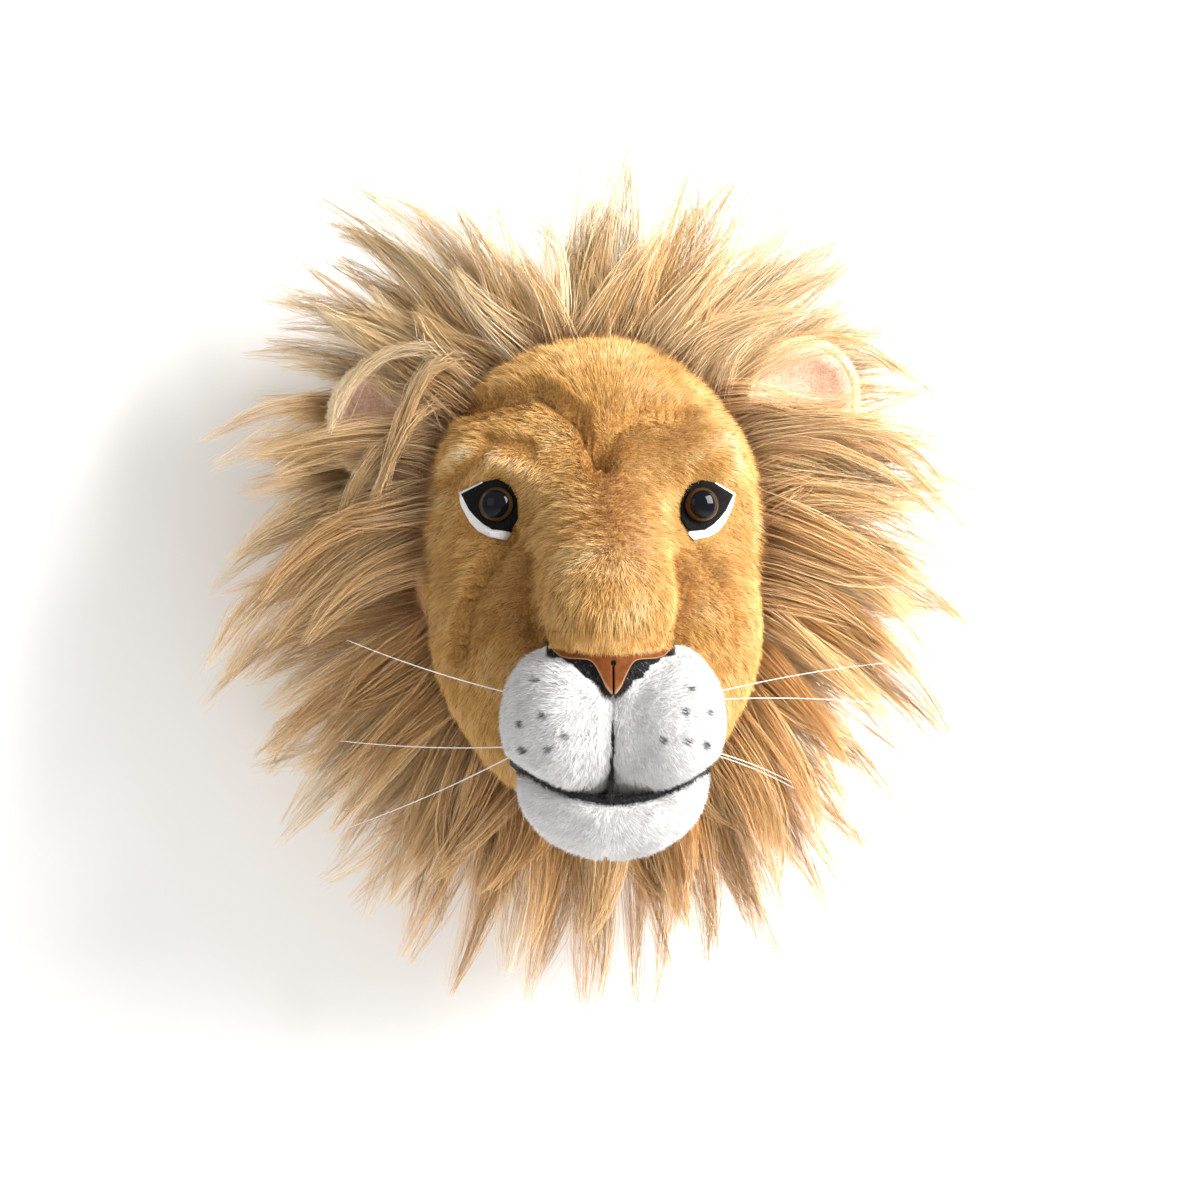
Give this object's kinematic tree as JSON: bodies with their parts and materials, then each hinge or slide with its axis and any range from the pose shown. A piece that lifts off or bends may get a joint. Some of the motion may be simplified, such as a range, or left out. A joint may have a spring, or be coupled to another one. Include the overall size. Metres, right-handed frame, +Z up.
{
  "type": "plush lion head wall trophy",
  "caption": "Stuffed plush lion head with a long faux-fur mane, on a small oval board with a keyhole, made to hang on a wall.",
  "frame": {"origin": "middle of the oval board's flat back face, where it lies against the wall", "axes": "+Y points into the wall, +Z up; the lion looks along -Y, and its own right is at -X"},
  "size_m": [0.3547, 0.2336, 0.4028],
  "materials": {
    "golden_plush": "short dense pile, matt with a soft sheen",
    "mane_plush": "long silky faux fur, soft sheen",
    "white_plush": "short dense pile, matt",
    "black_plush": "short pile and thick thread, matt",
    "nose_leather": "smooth, low sheen, raw cut edge",
    "eye_plastic": "polished dome over a dark pupil and a brown ring",
    "black_felt": "pressed felt, matt",
    "white_felt": "pressed felt, matt",
    "ear_plush": "short pile, matt",
    "pink_plush": "very short pile, matt",
    "board_wood": "sanded, unpainted",
    "whisker_nylon": "thin translucent filament"
  },
  "bodies": {
    "root": {"back_board": "board_wood", "head": "golden_plush", "muzzle": "white_plush", "chin": "white_plush", "mouth_line": "black_plush", "nose_leather": "nose_leather", "nostril_left": "black_plush", "nostril_right": "black_plush", "eye_left": "eye_plastic", "eye_right": "eye_plastic", "eye_patch_left": "black_felt", "eye_patch_right": "black_felt", "eye_rim_left": "white_felt", "eye_rim_right": "white_felt", "ear_left": "ear_plush", "ear_right": "ear_plush", "ear_inner_left": "pink_plush", "ear_inner_right": "pink_plush", "mane": "mane_plush", "whisker_left_1": "whisker_nylon", "whisker_left_2": "whisker_nylon", "whisker_left_3": "whisker_nylon", "whisker_right_1": "whisker_nylon", "whisker_right_2": "whisker_nylon", "whisker_right_3": "whisker_nylon", "whisker_right_4": "whisker_nylon"}
  },
  "joints": []
}
